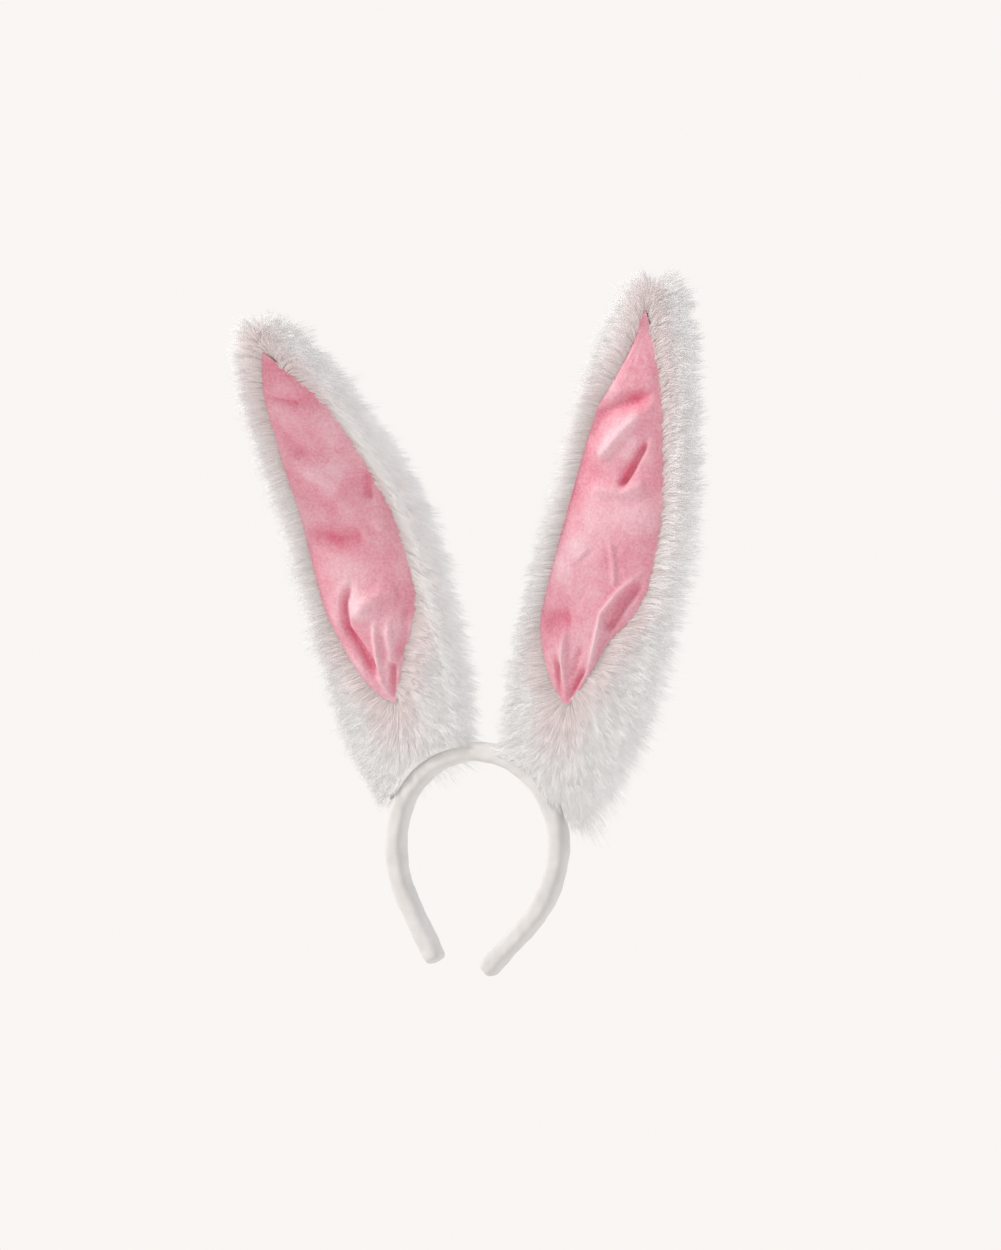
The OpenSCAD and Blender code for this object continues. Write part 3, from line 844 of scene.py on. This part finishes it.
def knit_material():
    """The knitted back of faux fur: fine ribs under the roots of the pile."""
    made, tree = empty_material("knitted_fur_backing")
    where = add(tree, "ShaderNodeTexCoord")
    # patches about 11 mm across
    cloud = add(tree, "ShaderNodeTexNoise", {
        "Vector": where.outputs["Object"], "Scale": 90.0, "Detail": 4.0})
    tone = add(tree, "ShaderNodeValToRGB", {"Fac": cloud.outputs["Fac"]})
    tone.color_ramp.elements[0].color = linear("#E2E0DE")
    tone.color_ramp.elements[1].color = linear("#F1F0EE")
    # ribs about 1.2 mm apart
    ribs = add(tree, "ShaderNodeTexWave", {
        "Vector": where.outputs["Object"], "Scale": 260.0, "Distortion": 2.0})
    bump = add(tree, "ShaderNodeBump", {"Height": ribs.outputs["Fac"], "Strength": 0.4, "Distance": 0.0005})
    cloth = add(tree, "ShaderNodeBsdfPrincipled", {"Base Color": tone.outputs["Color"], "Roughness": 0.95,
                                                   "Normal": bump.outputs["Normal"]})
    add(tree, "ShaderNodeOutputMaterial", {"Surface": cloth.outputs["BSDF"]})
    return made


def fur_material():
    """Acrylic pile: white hairs with a soft sheen, painted greyer and warmer towards their roots as shade, and
    given a faint painted glow that is brightest at their tips.
    """
    made, tree = empty_material("white_acrylic_pile")
    tint = add(tree, "ShaderNodeVertexColor", layer_name="hair_colour")
    where = add(tree, "ShaderNodeTexCoord")
    # patches about 22 mm across
    cloud = add(tree, "ShaderNodeTexNoise", {
        "Vector": where.outputs["Object"], "Scale": 45.0, "Detail": 3.0})
    soft = add(tree, "ShaderNodeMapRange", {"Value": cloud.outputs["Fac"], "To Min": 0.95, "To Max": 1.0})
    toned = add(tree, "ShaderNodeVectorMath", {0: tint.outputs["Color"], 1: soft.outputs["Result"]},
                operation="MULTIPLY")
    # painted light: the hairs glow faintly, dim grey at their roots as painted shade and near white at their tips,
    # in place of light scattered through the pile
    depth = add(tree, "ShaderNodeAttribute", attribute_name="reach")
    glow = add(tree, "ShaderNodeValToRGB", {"Fac": depth.outputs["Fac"]})
    glow.color_ramp.elements[0].color = linear("#A09B98")
    glow.color_ramp.elements[1].color = linear("#F4F4F5")
    hair = add(tree, "ShaderNodeBsdfPrincipled", {
        "Base Color": toned.outputs["Vector"], "Roughness": 0.6, "Specular IOR Level": 0.3,
        "Sheen Weight": 0.15, "Sheen Roughness": 0.4,
        "Emission Color": glow.outputs["Color"], "Emission Strength": 0.272})
    through = add(tree, "ShaderNodeBsdfTranslucent", {"Color": toned.outputs["Vector"]})
    both = add(tree, "ShaderNodeMixShader", {0: 0.42, 1: hair.outputs["BSDF"], 2: through.outputs["BSDF"]})
    add(tree, "ShaderNodeOutputMaterial", {"Surface": both.outputs["Shader"]})
    return made


knit, fur = knit_material(), fur_material()
LAY_HEIGHTS = [-0.030, 0.000, 0.030, 0.080, 0.138, 0.188, 0.250, 0.310, 0.338]
LAY = {     # how far the pile lies upwards along each edge, in degrees from straight out
    ("left", "outer"): [-40, -30, -15, -5, 0, 0, 5, 15, 15],
    ("left", "inner"): [-35, -30, -20, -18, -22, -32, -38, -25, -5],
    ("right", "outer"): [-24, -18, -6, 12, 34, 46, 50, 35, 15],
    ("right", "inner"): [-45, -38, -30, -27, -25, -22, -18, -10, -5],
}


def random_roots(ear, rng):
    """Roots over the cloth: flat place, the surface's direction, kind, and how each hair lies."""
    side, sign = ear["side"], ear["sign"]
    grid = np.linspace(EAR_HEM[side], EAR_LEN - 0.0002, 1500)
    slope = np.gradient(half_width(grid), grid)
    run = np.concatenate([[0], np.cumsum(np.hypot(1, slope[1:]) * np.diff(grid))])

    def roots_at(x, height, front):
        """Root place and surface direction on the front or back of the flat ear."""
        wide = np.maximum(half_width(height), 1e-4)
        share = np.clip(x / wide, -1, 1)
        bulge = np.sqrt(np.maximum(0, 1 - share ** 2))
        facing = np.where(front, -1.0, 1.0)
        tilt = np.clip(np.interp(height, grid, slope), -6, 6)
        out = np.stack([HALF_T * share, facing * wide * bulge, -HALF_T * np.abs(share) * tilt], -1)
        out /= np.linalg.norm(out, axis=1)[:, None]
        return np.stack([x, facing * HALF_T * bulge, height], -1), out

    groups = []
    # edges
    count = ROOTS[EDGE]
    height = np.interp(rng.uniform(0, run[-1], count), run, grid)
    edge = rng.choice([-1.0, 1.0], count)
    turn = np.radians(rng.uniform(-26, 30, count))
    x = edge * half_width(height) * np.cos(turn)
    place, out = roots_at(x, height, turn < 0)
    place[:, 1] = HALF_T * np.sin(turn)
    groups.append((place, out, np.full(count, EDGE)))
    # front, beside and below the lining
    count = ROOTS[FRONT]
    x = rng.uniform(-EAR_W / 2, EAR_W / 2, count)
    height = rng.uniform(EAR_HEM[side], EAR_LEN, count)
    clear = np.abs(x) > lining_reach(side, x * sign > 0, height) - 0.0006
    clear |= (height < LINING_LOW) | (height > LINING_TOP)
    clear &= np.abs(x) < half_width(height)
    place, out = roots_at(x[clear], height[clear], np.ones(clear.sum(), bool))
    groups.append((place, out, np.full(len(place), FRONT)))
    # back
    count = ROOTS[BACK]
    x = rng.uniform(-EAR_W / 2, EAR_W / 2, count)
    height = rng.uniform(EAR_HEM[side], EAR_LEN, count)
    kept = np.abs(x) < half_width(height)
    place, out = roots_at(x[kept], height[kept], np.zeros(kept.sum(), bool))
    groups.append((place, out, np.full(len(place), BACK)))
    # over the lining's right-hand margin
    count = ROOTS[MARGIN]
    height = rng.uniform(LINING_LOW + 0.006, LINING_TOP - 0.01, count)
    nibble = 0.0005 * (np.sin(height * 430) + np.sin(height * 1170 + 1)) + rng.uniform(-0.0004, 0.0014, count)
    x = sign * (lining_reach(side, np.full(count, True), height) - nibble)
    place, out = roots_at(x, height, np.ones(count, bool))
    place[:, 1] -= 0.0012
    groups.append((place, out, np.full(count, MARGIN)))
    place, out, kind = (np.concatenate(parts) for parts in zip(*groups))
    kept = place[:, 2] > foot_edge(ear, place[:, 0]) + 0.0006
    place, out, kind = place[kept], out[kept], kind[kept]

    share = place[:, 0] / np.maximum(half_width(place[:, 2]), 1e-4)
    edge = np.where(share < 0, -1.0, 1.0)
    lay = np.where(edge > 0, np.interp(place[:, 2], LAY_HEIGHTS, LAY[side, "outer"]),
                   np.interp(place[:, 2], LAY_HEIGHTS, LAY[side, "inner"]))
    slant = np.arctan(np.clip(-np.interp(place[:, 2], grid, slope), -8, 8)) + np.radians(lay)
    rim = np.abs(share) ** 1.5
    centre_lay = np.interp(place[:, 2], [-0.03, 0.03, 0.09, 0.16], [-0.9, -0.5, 0.2, 0.9])
    flow_x = edge * np.cos(slant) * rim + share * (1 - rim)
    flow_z = np.sin(slant) * rim + centre_lay * (1 - rim)
    long = np.maximum(np.hypot(flow_x, flow_z), 1e-4)
    flow = np.stack([flow_x / long, 0 * flow_x, flow_z / long], -1)
    return place, out, kind, flow, share


def grow_pile(ear, seed):
    """Meshes of tapered three-sided hairs in tufts, one piece for each stretch's front and back."""
    rng = np.random.default_rng(seed)
    side, sign = ear["side"], ear["sign"]
    place, out, kind, flow, share = random_roots(ear, rng)
    count = len(place)

    # tufts: each hair follows its nearest tuft's own direction
    leaders = rng.choice(count, count // HAIRS_PER_TUFT, replace=False)
    near = kdtree.KDTree(len(leaders))
    for i, j in enumerate(leaders):
        near.insert(place[j] * [1, 2.0, 1], i)
    near.balance()
    tuft = leaders[np.array([near.find(p)[1] for p in place * [1, 2.0, 1]])]

    lean_out = np.where(kind == EDGE, rng.uniform(0.5, 1.0, count),
                        np.where(kind == FRONT, 0.26, np.where(kind == MARGIN, 0.12, 0.45)))
    direction = flow + out * lean_out[:, None]
    sway = rng.normal(0, 0.085, (count, 3))
    direction += sway[tuft] * [1, 0.8, 1] + rng.normal(0, 0.055, (count, 3))
    direction /= np.linalg.norm(direction, axis=1)[:, None]
    rightward = sign * share
    middle = np.interp(place[:, 2], [0.0, 0.06, 0.20, 0.28], [0.35, 1.0, 1.0, 0.45])
    length = PILE * (1.0 + (0.30 + 0.30 * middle) * smooth((rightward + 0.1) / 1.0))
    length *= 1 - 0.40 * smooth(0.5 - rightward) * smooth((0.045 - place[:, 2]) / 0.05) * (sign < 0)
    length *= 1 + 0.10 * rng.normal(0, 1, count)[tuft].clip(-1.5, 1.5)
    length *= rng.uniform(0.72, 1.06, count)
    length *= np.where(kind == MARGIN, 0.6, 1.0)
    length *= 1 - 0.34 * smooth((0.024 - place[:, 2]) / 0.03) * (share > 0.2) * (kind != BACK)
    length *= np.where((kind == BACK) & (place[:, 2] < 0.02), 1.25, 1.0)
    beside_lining = (kind == FRONT) & (np.abs(share) > 0.5) & (place[:, 2] > LINING_LOW + 0.02)
    length *= np.where(beside_lining, 0.85, 1.0)

    turn = np.interp(place[:, 2], ear["heights"], ear["turn"])
    down = np.stack([np.full(count, -ear["across"][2]), -np.sin(turn) * ear["up"][2],
                     -np.cos(turn) * ear["up"][2]], -1)
    curl = rng.normal(0, 0.07, (count, 3))[tuft] + rng.normal(0, 0.045, (count, 3))
    steps = np.array([0.0, 0.38, 0.74, 1.0])
    line = (place[:, None] + length[:, None, None]
            * (direction[:, None] * steps[None, :, None]
               + (0.16 * down + curl)[:, None] * steps[None, :, None] ** 2))
    lead = line[tuft]
    line += (lead - line) * np.array([0, 0.06, 0.14, 0.20])[None, :, None]

    # hairs in front lie along the band's outer edge, and hairs at the back pass behind it
    world = on_ear(ear, line)
    radius = np.hypot(world[..., 0], world[..., 2])
    lapped = rng.uniform(0, 1, count) < (0.45 if side == "right" else 0.0)
    spill = np.where(lapped, 0.0050, rng.uniform(0.0012, 0.0024, count))
    keep_out = np.where(place[:, 1] < 0.002, CROWN_R + BAND_T - spill, 0.0)[:, None]
    push = np.maximum(keep_out / radius, 1.0)
    push = np.where(np.abs(world[..., 1]) < 0.03, push, 1.0)
    world[..., 0] *= push
    world[..., 2] *= push
    radius = radius * push
    near_band = smooth((CROWN_R + BAND_T + 0.004 - radius) / 0.005)
    front = (place[:, 1] < 0)[:, None]
    ahead = np.minimum(world[..., 1], -BAND_W / 2 - 0.0012)
    behind = np.maximum(world[..., 1], BAND_W / 2 + 0.0024)
    world[..., 1] += near_band * (np.where(front, ahead, behind) - world[..., 1])

    thick = HAIR_R * rng.uniform(0.75, 1.2, count)
    along = np.gradient(world, axis=1)
    along /= np.linalg.norm(along, axis=2)[..., None] + 1e-12
    spin = rng.normal(0, 1, (count, 1, 3))
    beside = np.cross(along, spin)
    beside /= np.linalg.norm(beside, axis=2)[..., None] + 1e-12
    over = np.cross(along, beside)
    rings = []
    for step, share_of in ((0, 1.0), (1, 0.9), (2, 0.62)):
        for k in range(3):
            angle = 2 * math.pi * k / 3
            rings.append(world[:, step] + (thick * share_of)[:, None]
                         * (beside[:, step] * math.cos(angle) + over[:, step] * math.sin(angle)))
    points = np.stack(rings + [world[:, 3]], axis=1)

    quads = [(r * 3 + k, r * 3 + (k + 1) % 3, r * 3 + 3 + (k + 1) % 3, r * 3 + 3 + k)
             for r in range(2) for k in range(3)]
    tips = [(6 + k, 6 + (k + 1) % 3, 9) for k in range(3)]
    corners = np.array([c for face in quads + tips for c in face])
    sizes = np.array([4] * 6 + [3] * 3)
    starts = np.concatenate([[0], np.cumsum(sizes)[:-1]])

    bright = 0.5 + 0.5 * np.clip(rng.normal(0, 0.5, count)[tuft] + rng.normal(0, 0.25, count), -1, 1)
    # painted shade: the roots are a little greyer and warmer than the tips
    root, tip_low, tip_high = (np.array(linear(c)[:3]) for c in ("#F6F3F1", "#F9F8F7", "#FFFFFF"))
    tip = tip_low + (tip_high - tip_low) * bright[:, None]
    level = np.array([0] * 3 + [0.45] * 3 + [0.85] * 3 + [1.0])
    colour = root + (tip[:, None] - root) * level[None, :, None]
    # painted reflection: the hairs beside and below the lining are tinted with its pink, as by light thrown back
    # from it
    beside_height = np.maximum(place[:, 2], LINING_LOW + 0.004)
    gap = np.abs(place[:, 0]) - lining_reach(side, place[:, 0] * sign > 0, beside_height)
    pink_reflection = np.exp(-(np.maximum(gap, 0) / 0.006) ** 2) * (place[:, 1] < 0) * (kind != EDGE)
    pink_reflection *= np.where(place[:, 2] < LINING_LOW, np.exp(-((LINING_LOW - place[:, 2]) / 0.022) ** 2), 1.0)
    reflected_pink = np.array(linear("#F0D2D3")[:3])
    colour += (reflected_pink - colour) * (pink_reflection * 0.26)[:, None, None]

    for stretch, high in (("low", False), ("high", True)):
        for face, behind_it in (("front", False), ("back", True)):
            mine = ((place[:, 2] >= STRETCH_SPLIT) == high) & ((place[:, 1] > 0.001) == behind_it)
            total = int(mine.sum())
            mesh = bpy.data.meshes.new(f"{side}_ear_pile_{stretch}_{face}")
            mesh.vertices.add(total * HAIR_CORNERS)
            mesh.vertices.foreach_set("co", points[mine].astype(np.float32).ravel())
            mesh.loops.add(total * len(corners))
            each = np.arange(total)[:, None]
            mesh.loops.foreach_set("vertex_index", (corners[None, :] + HAIR_CORNERS * each)
                                   .astype(np.int32).ravel())
            mesh.polygons.add(total * HAIR_FACES)
            mesh.polygons.foreach_set("loop_start", (starts[None, :] + len(corners) * each)
                                      .astype(np.int32).ravel())
            mesh.polygons.foreach_set("use_smooth", np.ones(total * HAIR_FACES, bool))
            mesh.update(calc_edges=True)
            paint = mesh.color_attributes.new("hair_colour", "FLOAT_COLOR", "POINT")
            rgba = np.concatenate([colour[mine], np.ones((total, HAIR_CORNERS, 1))], axis=2)
            paint.data.foreach_set("color", rgba.astype(np.float32).ravel())
            # how far along each hair, shifted by its tuft's random brightness: it sets the pile's painted glow and
            # painted root shade
            reach = np.clip(level[None, :] * 0.62 + (bright[mine] - 0.5)[:, None] * 0.24 + 0.28, 0, 1)
            mesh.attributes.new("reach", "FLOAT", "POINT").data.foreach_set(
                "value", reach.astype(np.float32).ravel())
            mesh.materials.append(fur)
            piece = bpy.data.objects.new(mesh.name, mesh)
            bpy.context.collection.objects.link(piece)
            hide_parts(*([f"{side}_upper_fur"] if high else [f"{side}_foot_fur",
                                                                     f"{side}_lower_fur"]))
            bend_over(piece)


for side, ear in ears.items():
    for stretch, high in (("low", False), ("high", True)):
        rings = section_rings(stretch_heights(ear, high, 0.0006, 0.0), 60, 1.0, HALF_T)
        flat = rings.reshape(-1, 3)
        faces = []
        for face in ring_faces(len(rings), ROUND):
            middle = flat[list(face)].mean(axis=0)
            under = (middle[1] < -0.0004 and LINING_LOW + 0.001 < middle[2] < LINING_TOP - 0.002
                     and abs(middle[0]) < lining_reach(side, middle[0] * ear["sign"] > 0, middle[2]) - 0.0012)
            if not under:
                faces.append(face if ear["sign"] > 0 else face[::-1])
        used = np.unique(np.concatenate([list(face) for face in faces]))
        number = {int(corner): i for i, corner in enumerate(used)}
        faces = [tuple(number[corner] for corner in face) for face in faces]
        backing = mesh_piece(f"{side}_ear_fur_backing_{stretch}", on_ear(ear, flat[used]), faces, [knit])
        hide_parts(*([f"{side}_upper_fur"] if high else [f"{side}_foot_fur", f"{side}_lower_fur"]))
        bend_over(backing)
    grow_pile(ear, PILE_SEED[side])
